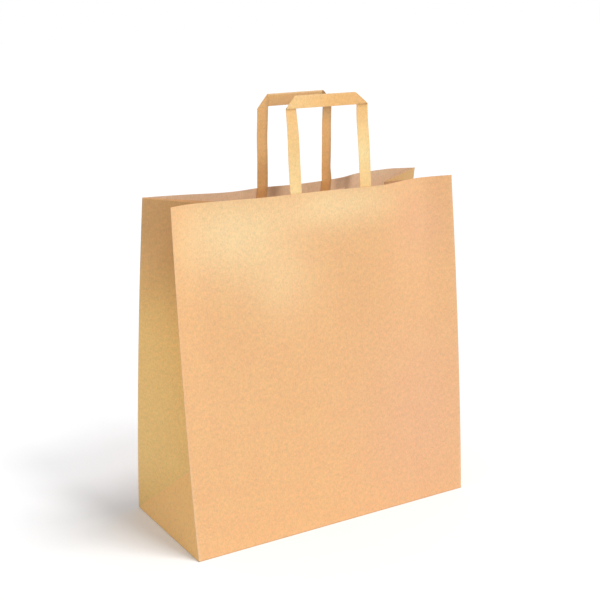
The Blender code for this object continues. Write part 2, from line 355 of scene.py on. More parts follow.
# %% [markdown]
# ## What kraft paper looks like
# Unbleached pulp is cloudy, because its fibres clump before the sheet dries. Up close it has fine
# fibres that lie mostly along the way that the paper machine ran, and a few darker specks. These
# are three groups, which all papers here share: clouds, fibres and specks.

# %% Group: pulp clouds
clouds, given, made = start_group(
    "pulp clouds",
    [("Place", "NodeSocketVector", None), ("Size", "NodeSocketFloat", 30.0)],
    [("Cloud", "NodeSocketFloat")],
)
wide = add_node(clouds, "ShaderNodeTexNoise")
wide.inputs["Detail"].default_value = 4.0
wide.inputs["Roughness"].default_value = 0.6
join(clouds, given.outputs["Place"], wide.inputs["Vector"])
join(clouds, given.outputs["Size"], wide.inputs["Scale"])
spread = map_range(clouds, wide.outputs["Fac"], 0.3, 0.7)
join(clouds, spread.outputs["Result"], made.inputs["Cloud"])
print("group", clouds.name)

# %% Group: fibres
fibres, given, made = start_group(
    "paper fibres",
    [("Place", "NodeSocketVector", None), ("Stretch", "NodeSocketVector", (1.0, 0.5, 1.0)),
     ("Size", "NodeSocketFloat", 900.0)],
    [("Fibre", "NodeSocketFloat")],
)
stretch = add_node(fibres, "ShaderNodeVectorMath", operation="MULTIPLY")
join(fibres, given.outputs["Place"], stretch.inputs[0])
join(fibres, given.outputs["Stretch"], stretch.inputs[1])
strands = add_node(fibres, "ShaderNodeTexNoise")
strands.inputs["Detail"].default_value = 3.0
strands.inputs["Roughness"].default_value = 0.65
strands.inputs["Distortion"].default_value = 0.6
join(fibres, stretch.outputs[0], strands.inputs["Vector"])
join(fibres, given.outputs["Size"], strands.inputs["Scale"])
clear = map_range(fibres, strands.outputs["Fac"], 0.35, 0.65)
join(fibres, clear.outputs["Result"], made.inputs["Fibre"])
print("group", fibres.name)

# %% Group: specks
specks, given, made = start_group(
    "pulp specks",
    [("Place", "NodeSocketVector", None), ("Size", "NodeSocketFloat", 260.0),
     ("Radius", "NodeSocketFloat", 0.16)],
    [("Speck", "NodeSocketFloat")],
)
cells = add_node(specks, "ShaderNodeTexVoronoi")
join(specks, given.outputs["Place"], cells.inputs["Vector"])
join(specks, given.outputs["Size"], cells.inputs["Scale"])
rare = add_node(specks, "ShaderNodeSeparateColor")
join(specks, cells.outputs["Color"], rare.inputs["Color"])
chosen = add_node(specks, "ShaderNodeMath", operation="GREATER_THAN")
chosen.inputs[1].default_value = 0.96
join(specks, rare.outputs["Red"], chosen.inputs[0])
near = map_range(specks, cells.outputs["Distance"], to_low=1.0, to_high=0.0)
join(specks, given.outputs["Radius"], near.inputs["From Max"])
both = add_node(specks, "ShaderNodeMath", operation="MULTIPLY")
join(specks, chosen.outputs[0], both.inputs[0])
join(specks, near.outputs["Result"], both.inputs[1])
join(specks, both.outputs[0], made.inputs["Speck"])
print("group", specks.name)

# %% [markdown]
# ## The grain of the sheet
# Held to the light, pulp is uneven at several sizes at once: flocks of some millimetres, small
# clots of one or two, and single fibres. One group adds them up to a shade around 1 that
# multiplies any paper's colour, and to a height for the bump.

# %% Group: paper grain
FLOCK_SHADE, CLOT_SHADE, FIBRE_SHADE = 0.15, 0.12, 0.13
FLOCK_RISE, CLOT_RISE, FIBRE_RISE = 0.45, 0.25, 0.30

grain, given, made = start_group(
    "paper grain",
    [("Place", "NodeSocketVector", None), ("Strength", "NodeSocketFloat", 1.0)],
    [("Shade", "NodeSocketFloat"), ("Height", "NodeSocketFloat"), ("Clot", "NodeSocketFloat")],
)
flocks = place_group(grain, clouds, Size=230.0)
clots = place_group(grain, clouds, Size=560.0)
single = place_group(grain, fibres, Size=800.0)
for node in (flocks, clots, single):
    join(grain, given.outputs["Place"], node.inputs["Place"])
sources = (flocks.outputs["Cloud"], clots.outputs["Cloud"], single.outputs["Fibre"])
shades = (FLOCK_SHADE, CLOT_SHADE, FIBRE_SHADE)
shade_around_zero = add_up(grain, zip(sources, shades), -sum(shades) / 2)
lift = add_up(grain, zip(sources, (FLOCK_RISE, CLOT_RISE, FIBRE_RISE)), 0.0)
around_one = add_node(grain, "ShaderNodeMath", operation="MULTIPLY_ADD")
join(grain, shade_around_zero, around_one.inputs[0])
join(grain, given.outputs["Strength"], around_one.inputs[1])
around_one.inputs[2].default_value = 1.0
join(grain, around_one.outputs[0], made.inputs["Shade"])
join(grain, lift, made.inputs["Height"])
share = add_node(grain, "ShaderNodeMix")
share.inputs["Factor"].default_value = 0.4
join(grain, clots.outputs["Cloud"], share.inputs[2])
join(grain, flocks.outputs["Cloud"], share.inputs[3])
join(grain, share.outputs[0], made.inputs["Clot"])
print("group", grain.name)

# %% [markdown]
# ## Paper as a material
# The pattern follows the flat sheet, so it is read from a UV map that holds the flat sheet's
# own coordinates in metres. The hue of each place comes first: a slow drift between two pulps,
# then stored numbers such as how near a crease is. The grain multiplies the result. The papers
# inside also glow a little, a painted light that stands in for the light coming through the thin
# sheet, and the inside of the bag is paler than its outside, partly its own colour and partly
# painted light.

# %% Mixing helpers
def mix_colour(tree, factor, base, top_colour):
    mix = add_node(tree, "ShaderNodeMix", data_type="RGBA")
    join(tree, factor, mix.inputs["Factor"])
    if isinstance(base, tuple):
        mix.inputs[6].default_value = (*base, 1.0)
    else:
        join(tree, base, mix.inputs[6])
    mix.inputs[7].default_value = (*top_colour, 1.0)
    return mix.outputs[2]


def scaled(tree, source, factor):
    node = add_node(tree, "ShaderNodeMath", operation="MULTIPLY")
    join(tree, source, node.inputs[0])
    node.inputs[1].default_value = factor
    return node.outputs[0]


def tinted(tree, factor, base, ratio):
    """Multiplies base by ratio where factor is 1."""
    mix = add_node(tree, "ShaderNodeMix", data_type="RGBA", blend_type="MULTIPLY")
    join(tree, factor, mix.inputs["Factor"])
    join(tree, base, mix.inputs[6])
    mix.inputs[7].default_value = (*ratio, 1.0)
    return mix.outputs[2]


print("helpers", [helper.__name__ for helper in (mix_colour, scaled, tinted)])

# %% Paper material
CLOUD_TINT = (0.980, 0.925, 0.970)
CLOT_TINT = (0.985, 0.825, 0.740)
SPECK_COLOUR = (0.48, 0.22, 0.10)


def paper_material(name, colour, other_colour, roughness, tints=(), glow=0.0):
    """tints are (attribute, colour, strength), laid on one by one. glow is an emission, painted light that
    stands in for light through the sheet.
    """
    material = bpy.data.materials.new(name)
    material.use_nodes = True
    tree = material.node_tree
    shader = tree.nodes["Principled BSDF"]
    shader.inputs["Specular IOR Level"].default_value = 0.28
    sheet = add_node(tree, "ShaderNodeUVMap", uv_map="flat sheet")
    broad = place_group(tree, clouds, Size=11.0)
    patchy = place_group(tree, clouds, Size=55.0)
    texture = place_group(tree, grain)
    dots = place_group(tree, specks)
    for node in (broad, patchy, texture, dots):
        join(tree, sheet.outputs["UV"], node.inputs["Place"])

    result = mix_colour(tree, scaled(tree, broad.outputs["Cloud"], 0.7), colour, other_colour)
    for attribute, tint, amount in tints:
        stored = add_node(tree, "ShaderNodeAttribute", attribute_name=attribute)
        result = mix_colour(tree, scaled(tree, stored.outputs["Fac"], amount), result, tint)
    result = tinted(tree, scaled(tree, patchy.outputs["Cloud"], 0.7), result, CLOUD_TINT)
    result = tinted(tree, scaled(tree, texture.outputs["Clot"], 0.85), result, CLOT_TINT)
    shade = add_node(tree, "ShaderNodeVectorMath", operation="SCALE")
    join(tree, result, shade.inputs[0])
    join(tree, texture.outputs["Shade"], shade.inputs["Scale"])
    dotted = scaled(tree, dots.outputs["Speck"], 0.55)
    result = mix_colour(tree, dotted, shade.outputs[0], SPECK_COLOUR)
    join(tree, result, shader.inputs["Base Color"])
    join(tree, result, shader.inputs["Emission Color"])
    shader.inputs["Emission Strength"].default_value = glow

    rough = map_range(tree, texture.outputs["Height"], to_low=roughness - 0.06, to_high=roughness + 0.08)
    join(tree, rough.outputs["Result"], shader.inputs["Roughness"])

    relief = add_node(tree, "ShaderNodeBump")
    relief.inputs["Strength"].default_value = 0.6
    relief.inputs["Distance"].default_value = 0.00014
    join(tree, texture.outputs["Height"], relief.inputs["Height"])
    join(tree, relief.outputs["Normal"], shader.inputs["Normal"])
    return material


KRAFT = (0.842, 0.532, 0.258)
kraft_outside = paper_material(
    "kraft outside", KRAFT, (0.866, 0.560, 0.276), 0.72,
    # The first tint is a painted sheen on the front panel.
    tints=(("sheen", (0.965, 0.770, 0.425), 0.95), ("rosy", (0.830, 0.512, 0.304), 0.8),
           # The pleat and triangle tints are painted light: lighter and yellower on the pleat, brighter on
           # the triangle.
           ("gusset", (0.915, 0.672, 0.272), 1.0), ("triangle", (1.000, 0.670, 0.275), 1.0),
           # The next tint darkens the pleats' tops as painted shade.
           ("pleat_shade", (0.665, 0.440, 0.200), 1.0),
           # The fold tint is a paler line, partly wear and partly a painted highlight.
           ("crease", (0.86, 0.67, 0.44), 0.6)),
)
# The inside's paler colour is partly its own and partly painted light, and its glow is painted light.
kraft_inside = paper_material(
    "kraft inside", (0.880, 0.750, 0.550), (0.860, 0.720, 0.520), 0.80, glow=0.11,
    tints=(("gusset", (0.680, 0.430, 0.205), 0.75), ("in shade", (0.330, 0.220, 0.140), 0.85),
           # Inside, the fold tint is painted shade in the folds.
           ("crease", (0.50, 0.30, 0.15), 0.25)),
)
handle_paper = paper_material(
    "handle strip paper", (0.935, 0.665, 0.292), (0.940, 0.685, 0.310), 0.68,
    tints=(("bar", (0.910, 0.570, 0.230), 0.95), ("sunny", (0.985, 0.840, 0.430), 0.9),
           ("shaded", (0.560, 0.385, 0.200), 0.95), ("lip", (0.98, 0.78, 0.46), 0.9),
           # On a strip, the fold tint is a painted shadow line and the lip tint a painted highlight.
           ("crease", (0.32, 0.20, 0.09), 0.85)),
)
# The patches' glow is painted light as well.
patch_paper = paper_material(
    "patch paper", (0.920, 0.720, 0.510), (0.900, 0.700, 0.480), 0.80, glow=0.08,
    tints=(("crease", (0.55, 0.33, 0.16), 0.4),),
)
print("papers", [m.name for m in (kraft_outside, kraft_inside, handle_paper, patch_paper)])

# %% [markdown]
# ## Floor
# The floor is plain white and keeps the bag's soft shadow. A little light of its own, seen only
# by the camera, lifts it to white without adding light to the paper. That light is bluish,
# because the paper throws some orange on the floor and the shadow should still be grey.

# %% Floor
FLOOR_LIFT = 0.035


def mesh_from(part, name):
    """Turns part into mesh data and frees it."""
    data = bpy.data.meshes.new(name)
    part.to_mesh(data)
    part.free()
    return data


floor_mesh = bmesh.new()
bmesh.ops.create_grid(floor_mesh, x_segments=1, y_segments=1, size=6.0)
bmesh.ops.translate(floor_mesh, verts=floor_mesh.verts[:], vec=(0.0, 0.0, -0.0002))
floor = add_object("floor", mesh_from(floor_mesh, "floor"))
white = bpy.data.materials.new("white floor")
white.use_nodes = True
tree = white.node_tree
surface = tree.nodes["Principled BSDF"]
surface.inputs["Base Color"].default_value = (0.950, 0.950, 0.950, 1.0)
surface.inputs["Roughness"].default_value = 1.0
surface.inputs["Specular IOR Level"].default_value = 0.0
surface.inputs["Emission Color"].default_value = (0.15, 0.50, 1.0, 1.0)
floor_path = add_node(tree, "ShaderNodeLightPath")
lift_seen = scaled(tree, floor_path.outputs["Is Camera Ray"], FLOOR_LIFT)
join(tree, lift_seen, surface.inputs["Emission Strength"])
floor.data.materials.append(white)
print("floor", [round(side, 1) for side in floor.dimensions], "lift", FLOOR_LIFT)

# %% [markdown]
# ## The blank
# A bag starts as a flat blank, so the mesh does too: a grid as long as the way round the bag.
# Its columns fall on the upright folds. The diagonal folds are cut in with planes, and each fold
# gets a line of points close beside it, so that it can be rounded without softening the panels.

# %% Cut the blank
COLUMNS = 276
ROWS = 103
FOLD_SUPPORT = 0.0008
FOLD_REACH = 0.004
UPRIGHT_FOLDS = (0.140, 0.460, 0.600)
PLEAT_FOLDS = (0.070, 0.530)
FRONT_MIDDLE, BACK_MIDDLE = 0.300, 0.760

blank = bmesh.new()


def sheet_matrix(centre, size):
    """Places a grid of size 1 as a flat sheet of this width and height."""
    return Matrix.Translation((*centre, 0.0)) @ Matrix.Diagonal((size[0] / 2, size[1] / 2, 1.0, 1.0))


whole = sheet_matrix((PERIMETER / 2, HEIGHT / 2), (PERIMETER, HEIGHT))
bmesh.ops.create_grid(blank, x_segments=COLUMNS, y_segments=ROWS, size=1.0, matrix=whole)
print("blank", len(blank.verts), "points before it is scored")

# %% Score the folds
def score(mesh, point, normal, keep):
    """Cuts a line of points into the flat blank, in the faces that keep picks."""
    faces = [face for face in mesh.faces if keep(face.calc_center_median())]
    edges = list({edge for face in faces for edge in face.edges})
    corners = list({vert for face in faces for vert in face.verts})
    bmesh.ops.bisect_plane(mesh, geom=corners + edges + faces, dist=1e-6, plane_co=point, plane_no=normal)


for fold in (0.0, *UPRIGHT_FOLDS, PERIMETER, *PLEAT_FOLDS):
    for offset in (-FOLD_SUPPORT, FOLD_SUPPORT):
        if 0.0 < fold + offset < PERIMETER:
            score(blank, (fold + offset, 0, 0), (1, 0, 0), lambda c: abs(c.x - fold) < FOLD_REACH)
score(blank, (0, FOLD_SUPPORT, 0), (0, 1, 0), lambda c: c.y < FOLD_REACH)
RIM_STRIP = (0.0009, 0.0030)
RIM_SLOPE = (RIM_STRIP[1] - RIM_STRIP[0]) / PLEAT_FOLDS[0]
RIM_REACH = 0.0034
score(blank, (0, HEIGHT - RIM_STRIP[0], 0), (RIM_SLOPE, 1, 0),
      lambda c: c.x < PLEAT_FOLDS[0] and c.y > HEIGHT - RIM_REACH)
for start in (0.0, UPRIGHT_FOLDS[1]):
    middle = start + DEPTH / 2
    score(blank, (0, DEPTH / 2, 0), (0, 1, 0), lambda c: start < c.x < start + DEPTH)
    score(blank, (start, 0, 0), (1, -1, 0), lambda c: start < c.x < middle and c.y < DEPTH / 2)
    score(blank, (start + DEPTH, 0, 0), (1, 1, 0),
          lambda c: middle < c.x < start + DEPTH and c.y < DEPTH / 2)
print("blank", len(blank.verts), "points", len(blank.faces), "faces")

# %% Keep the flat coordinates
def write_flat_uv(mesh):
    layer = mesh.loops.layers.uv.new("flat sheet")
    for face in mesh.faces:
        for loop in face.loops:
            loop[layer].uv = (loop.vert.co.x, loop.vert.co.y)


write_flat_uv(blank)
flat = np.array([vert.co[:2] for vert in blank.verts])
print("flat sheet", flat.min(axis=0), flat.max(axis=0))

# %% [markdown]
# ## The hue of each part of the sheet
# A pleat and the triangle at its foot get hues of their own, which are painted light: the pleat
# is lighter and yellower, as the light that the side would catch, and the triangle is brighter
# still, as it faces up. Their edges are folds, so the two are stored per face corner and stay
# crisp. A thin strip along the left pleat's rim keeps the colour of the panels, as painted light
# that its cut edge catches. Soft spots of a panel are painted paler as a sheen, and a pleat's top
# is painted darker as shade in its pocket, with soft borders.

# %% Soft spots
# Each spot is (place along the sheet, height, half width, half height, strength).
# These spots are a painted sheen: the front panel is lighter where its waves would catch the light.
SHEEN_PLACES = (
    (0.200, 0.312, 0.050, 0.040, 1.0),
    (0.250, 0.262, 0.040, 0.040, 0.45),
    (0.315, 0.328, 0.060, 0.022, 0.9),
)
ROSY_PLACES = (
    (0.410, 0.090, 0.075, 0.110, 1.0),
    (0.420, 0.300, 0.040, 0.040, 0.8),
)
SHADE_PLACES = (
    (0.7805, 0.341, 0.009, 0.022, 0.9),
    (0.7015, 0.343, 0.006, 0.022, 0.6),
    (0.6890, 0.341, 0.007, 0.024, 0.8),
)


def soft_spots(places, s, up):
    """The sum of some soft spots at one point of the flat sheet, at most 1."""
    total = 0.0
    for x, y, half_wide, half_high, strength in places:
        total += strength * math.exp(-((s - x) / half_wide) ** 2 - ((up - y) / half_high) ** 2)
    return min(1.0, total)


print("sheen", round(soft_spots(SHEEN_PLACES, 0.2, 0.3), 2), "near the front's upper left corner")

# %% Store the regions
PLEAT_SHADE_FROM, PLEAT_SHADE_RISE = 0.190, 0.130


def pleat_top(s, up):
    """1 at the rim of the left pleat, falling to 0 some way down: painted shade in the pleat's pocket. The
    right pleat is darker all over, more so near its rim.
    """
    share = min(max((up - PLEAT_SHADE_FROM) / PLEAT_SHADE_RISE, 0.0), 1.0)
    share = share * share * (3 - 2 * share)
    return share if s < UPRIGHT_FOLDS[0] else 0.35 + 0.4 * share


region_layers = [blank.loops.layers.float.new(name) for name in ("gusset", "triangle", "pleat_shade")]
for face in blank.faces:
    centre = face.calc_center_median()
    start = 0.0 if centre.x < UPRIGHT_FOLDS[0] else UPRIGHT_FOLDS[1]
    in_gusset = start < centre.x < start + DEPTH
    in_triangle = in_gusset and min(centre.x - start, start + DEPTH - centre.x) > centre.y
    lit_rim_strip = centre.x < PLEAT_FOLDS[0] and centre.y > HEIGHT - RIM_STRIP[0] - RIM_SLOPE * centre.x
    for loop in face.loops:
        x, y = loop.vert.co.xy
        # Pleat and triangle faces take painted light; the rim strip keeps the panels' lighter colour as
        # painted light.
        loop[region_layers[0]] = 1.0 if in_gusset and not lit_rim_strip else 0.0
        loop[region_layers[1]] = 1.0 if in_triangle else 0.0
        x = min(max(x, start + 0.001), start + DEPTH - 0.001)
        loop[region_layers[2]] = pleat_top(x, y) if in_gusset and not lit_rim_strip else 0.0
for name, places in (("sheen", SHEEN_PLACES), ("rosy", ROSY_PLACES), ("in shade", SHADE_PLACES)):
    layer = blank.verts.layers.float.new(name)
    for vert in blank.verts:
        vert[layer] = soft_spots(places, vert.co.x, vert.co.y)
print("stored", [layer.name for layer in region_layers])

# %% [markdown]
# ## What happens to paper when it is handled
# Panels stay straight up and down but are never quite flat. Slow waves of a fraction of a
# millimetre catch the light. Where the handles' legs and patches are glued behind a panel, the
# paper stands out by less than a fifth of a millimetre, which shows as a faint outline.

# %% Handling marks
HANDLE_OFFSETS = {FRONT: 0.0067, BACK: 0.0040}
HANDLE_PITCH = 0.0758
STRIP_WIDTH = 0.012
PATCH_WIDTH, PATCH_HEIGHT, PATCH_DROP = 0.128, 0.035, 0.012
HANDLE_TUCK = 0.043
WAVE_DEPTH = 0.00055
SMALL_WAVE_DEPTH = 0.00016
PATCH_GHOST, LEG_GHOST = 0.00006, 0.00012


def soft_step(value, edge, ease):
    return np.clip((edge - value) / ease, 0.0, 1.0)


def ghost(panel, across, up):
    """How far the glued paper behind a panel pushes it out."""
    middle = HANDLE_OFFSETS[panel]
    below_rim = HEIGHT - up
    tall = soft_step(abs(below_rim - PATCH_DROP - PATCH_HEIGHT / 2), PATCH_HEIGHT / 2, 0.001)
    patch = soft_step(abs(across - middle), PATCH_WIDTH / 2, 0.001) * tall
    beside = np.minimum(abs(across - middle - HANDLE_PITCH / 2), abs(across - middle + HANDLE_PITCH / 2))
    legs = soft_step(beside, STRIP_WIDTH / 2 + 0.0005, 0.002) * soft_step(below_rim, HANDLE_TUCK, 0.001)
    return PATCH_GHOST * patch + LEG_GHOST * legs


def handling_wave(points):
    """Slow and small waves over the flat sheet, the same on every run."""
    slow = [noise.noise(Vector((x * 9, y * 6, 3.7))) for x, y in points]
    small = [noise.noise(Vector((x * 34, y * 22, 8.1))) for x, y in points]
    return np.array(slow) * WAVE_DEPTH + np.array(small) * SMALL_WAVE_DEPTH


wave = handling_wave(flat)
print("waves from", wave.min().round(5), "to", wave.max().round(5))

# %% Fold the blank
CALM_BY_FOLDS = 0.02
CALM_BY_FOOT = 0.05


def fold_flat(points, wave):
    """Where each flat point lies on the standing bag. wave moves it out of the sheet."""
    s, up = points.T
    result = np.empty((len(points), 3))
    out = np.empty((len(points), 3))
    pushed = np.zeros(len(points))
    front = (s >= UPRIGHT_FOLDS[0]) & (s <= UPRIGHT_FOLDS[1])
    back = s >= UPRIGHT_FOLDS[2]
    left = s < UPRIGHT_FOLDS[0]
    right = (s > UPRIGHT_FOLDS[1]) & (s < UPRIGHT_FOLDS[2])
    across = {FRONT: s - FRONT_MIDDLE, BACK: BACK_MIDDLE - s}
    for panel, which in ((FRONT, front), (BACK, back)):
        x = across[panel][which]
        inner = np.clip(x, -WIDTH / 2 + 0.002, WIDTH / 2 - 0.002)
        height = np.maximum(up[which], 0.002)
        result[which] = panel_place(panel, x, up[which])
        out[which] = -panel_inward(panel, inner, height)
        pushed[which] = ghost(panel, x, up[which])
    for side, which in ((LEFT, left), (RIGHT, right)):
        away = DEPTH - s[which] if side == LEFT else s[which] - UPRIGHT_FOLDS[1]
        result[which] = gusset_place(side, away, up[which])
        out[which] = (side, 0.0, 0.0)
    edge = np.minimum.reduce([abs(s - fold) for fold in (0.0, *UPRIGHT_FOLDS, PERIMETER, *PLEAT_FOLDS)])
    calm = np.clip(edge / CALM_BY_FOLDS, 0.0, 1.0) * np.clip(up / CALM_BY_FOOT, 0.0, 1.0)
    patch_calm = np.ones(len(points))
    for panel, which in ((FRONT, front), (BACK, back)):
        near_patch = soft_step(abs(across[panel] - HANDLE_OFFSETS[panel]), PATCH_WIDTH / 2 + 0.02, 0.02)
        near_patch = near_patch * soft_step(HEIGHT - up, 0.07, 0.02)
        patch_calm = np.where(which, 1 - near_patch, patch_calm)
    return result + out * (wave * calm * patch_calm + pushed)[:, None]


folded = fold_flat(flat, wave)
for vert, point in zip(blank.verts, folded):
    vert.co = point
print("folded box", folded.min(axis=0).round(4), folded.max(axis=0).round(4))

# %% Glue the tube and round its folds
crease_layer = blank.verts.layers.float.new("crease")


def crease_share(s, up):
    """1 on an upright fold or the foot, falling to 0 beside it. Outside it is a paler line, partly wear and
    partly a painted highlight, stronger near the foot; inside it is painted shade in the fold.
    """
    near = min(abs(s - fold) for fold in (0.0, *UPRIGHT_FOLDS, PERIMETER))
    wear_and_highlight = 0.25 + 0.75 * max(0.0, 1.0 - up / 0.16)
    width = 0.0034 if UPRIGHT_FOLDS[0] <= s <= UPRIGHT_FOLDS[1] else 0.0012
    return wear_and_highlight * max(0.0, 1.0 - near / width)


fold_points = []
for vert, (s, up) in zip(blank.verts, flat):
    vert[crease_layer] = crease_share(s, up)
    if min(abs(s - fold) for fold in (*UPRIGHT_FOLDS, *PLEAT_FOLDS)) < 1e-5 and 0.002 < up < HEIGHT - 0.001:
        fold_points.append(vert)
for _ in range(2):
    bmesh.ops.smooth_vert(blank, verts=fold_points, factor=0.35,
                          use_axis_x=True, use_axis_y=True, use_axis_z=False)
bmesh.ops.remove_doubles(blank, verts=blank.verts[:], dist=0.00002)
print("tube", len(blank.verts), "points,", sum(e.is_boundary for e in blank.edges), "edges on its rims")

# %% [markdown]
# ## The block bottom
# The lower end of the tube is folded under in flaps and glued. The sheet that closes it is
# pressed a little inwards. The flaps under it are thin plates with 45 degree corners, because
# that is where their fold lines ran.

# %% Close the bottom
foot_edges = [e for e in blank.edges if e.is_boundary and max(v.co.z for v in e.verts) < 0.001]
bottom = bmesh.ops.contextual_create(blank, geom=foot_edges)["faces"]
bmesh.ops.recalc_face_normals(blank, faces=blank.faces[:])
if bottom[0].normal.z > 0:
    bmesh.ops.reverse_faces(blank, faces=blank.faces[:])
bmesh.ops.inset_region(blank, faces=bottom, thickness=0.0012, depth=0.0)
for vert in {v for face in bottom for v in face.verts}:
    vert.co.z = 0.00028
bottom[0].normal_update()
print("bottom faces", len(bottom), "looks", bottom[0].normal.z)

# %% Paper flaps
FLAP_THICKNESS = 0.00009


def merge(mesh, part):
    """Puts part into mesh."""
    data = mesh_from(part, "part")
    mesh.from_mesh(data)
    bpy.data.meshes.remove(data)


def flap(mesh, low, high, height, cut, cut_ends):
    """A thin closed plate under the bag, with corners cut at 45 degrees at cut_ends."""
    part = bmesh.new()
    size = Matrix.Diagonal(((high[0] - low[0]) / 2, (high[1] - low[1]) / 2, 1.0, 1.0))
    centre = Matrix.Translation(((low[0] + high[0]) / 2, (low[1] + high[1]) / 2, height))
    bmesh.ops.create_grid(part, x_segments=24, y_segments=12, size=1.0, matrix=centre @ size)
    for x_side, y_side in cut_ends:
        corner = Vector((high[0] if x_side > 0 else low[0], high[1] if y_side > 0 else low[1], height))
        point = corner - Vector((x_side * cut / 2, y_side * cut / 2, 0.0))
        bmesh.ops.bisect_plane(part, geom=part.verts[:] + part.edges[:] + part.faces[:], dist=1e-6,
                               plane_co=point, plane_no=(x_side, y_side, 0.0), clear_outer=True)
    write_flat_uv(part)
    bmesh.ops.solidify(part, geom=part.faces[:], thickness=FLAP_THICKNESS)
    bmesh.ops.recalc_face_normals(part, faces=part.faces[:])
    merge(mesh, part)


print("a flap is", FLAP_THICKNESS * 1000, "mm thick")

# %% Thicken the bag's paper
def finish_piece(mesh, name, materials, thickness, offset=-1.0):
    for edge in mesh.edges:
        edge.smooth = not edge.is_boundary
    for face in mesh.faces:
        face.smooth = True
    data = mesh_from(mesh, name)
    for material in materials:
        data.materials.append(material)
    piece = add_object(name, data)
    modifier = piece.modifiers.new("paper thickness", "SOLIDIFY")
    modifier.thickness = thickness
    modifier.offset = offset
    if len(materials) > 1:
        modifier.material_offset = 1
    return piece


body = finish_piece(blank, "paper_bag_body", (kraft_outside, kraft_inside), PAPER)
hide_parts("bag_body")
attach(body, "root")
print("body faces", len(body.data.polygons))

# %% [markdown]
# ## The underside and the back seam
# The flaps and the glued lap at the back are separate plies, so they are a piece of their own
# that lies on the body. The lap shows as two fine, paler lines that run from rim to foot.

# %% Flaps and lap
plies = bmesh.new()
MARGIN = 0.0018
X, Y = WIDTH / 2 - MARGIN, DEPTH / 2 - MARGIN
flap(plies, (-X, -Y), (X, 0.022), 0.00005, 0.0, ())
flap(plies, (-X + 0.012, -0.018), (X - 0.012, Y), 0.00016, 0.030, ((-1, -1), (1, -1)))
LAP_MIDDLE, LAP_WIDTH = 0.130, 0.016
lap_flat = bmesh.new()
lap_place = sheet_matrix((LAP_MIDDLE, HEIGHT / 2), (LAP_WIDTH, HEIGHT))
bmesh.ops.create_grid(lap_flat, x_segments=6, y_segments=60, size=1.0, matrix=lap_place)
lap_points = np.array([vert.co[:2] for vert in lap_flat.verts])
write_flat_uv(lap_flat)
lap_crease = lap_flat.verts.layers.float.new("crease")
for vert in lap_flat.verts:
    vert[lap_crease] = 0.8 if abs(vert.co.x - LAP_MIDDLE) > LAP_WIDTH / 2 - 0.001 else 0.0
lap_flats = np.stack([BACK_MIDDLE - lap_points[:, 0], lap_points[:, 1]], axis=-1)
on_panel = fold_flat(lap_flats, handling_wave(lap_flats))
outward = -panel_inward(BACK, lap_points[:, 0], np.maximum(lap_points[:, 1], 0.002))
for vert, point, direction in zip(lap_flat.verts, on_panel, outward):
    vert.co = point + direction * 0.00006
bmesh.ops.solidify(lap_flat, geom=lap_flat.faces[:], thickness=-0.00011)
bmesh.ops.recalc_face_normals(lap_flat, faces=lap_flat.faces[:])
merge(plies, lap_flat)
glued_plies = add_object("glued_plies", mesh_from(plies, "glued_plies"))
glued_plies.data.materials.append(kraft_outside)
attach(glued_plies, "root")
print("plies", len(glued_plies.data.polygons), "faces")

# %% [markdown]
# ## The handles
# A flat handle is one long strip of folded paper. At each upper corner it is folded over itself
# at 45 degrees, so the bar lies on the outer side of both legs. The strip is made that way: an
# edge is pushed up for a leg, spun half a turn about the diagonal for the fold, and the two
# sides are bridged for the bar.

# %% The handle's plane
STRIP_THICKNESS = 0.0006
CLEARANCE = 0.0003
HANDLE_RISE = 0.0921
HANDLE_LEANS = {FRONT: math.radians(5.6), BACK: math.radians(-1.3)}
LEG_DEPTH = PAPER + CLEARANCE + STRIP_THICKNESS / 2


def handle_plane(panel):
    legs = np.array([HANDLE_OFFSETS[panel] + side * HANDLE_PITCH / 2 for side in (LEFT, RIGHT)])
    start, end = inside_place(panel, legs, np.full(2, HEIGHT), LEG_DEPTH)
    across = Vector((end - start) / HANDLE_PITCH)
    up = Vector((0.0, math.sin(HANDLE_LEANS[panel]), math.cos(HANDLE_LEANS[panel])))
    outward = across.cross(up).normalized() * -panel
    return Vector(start) - across * legs[0], across, up, outward


for panel, name in ((FRONT, "front"), (BACK, "back")):
    print(name, "handle looks", [round(v, 3) for v in handle_plane(panel)[3]])

# %% Make a flat handle
FOLD_STEPS = 6
BAR_CUTS = 18
STRIP_COLUMNS = 6


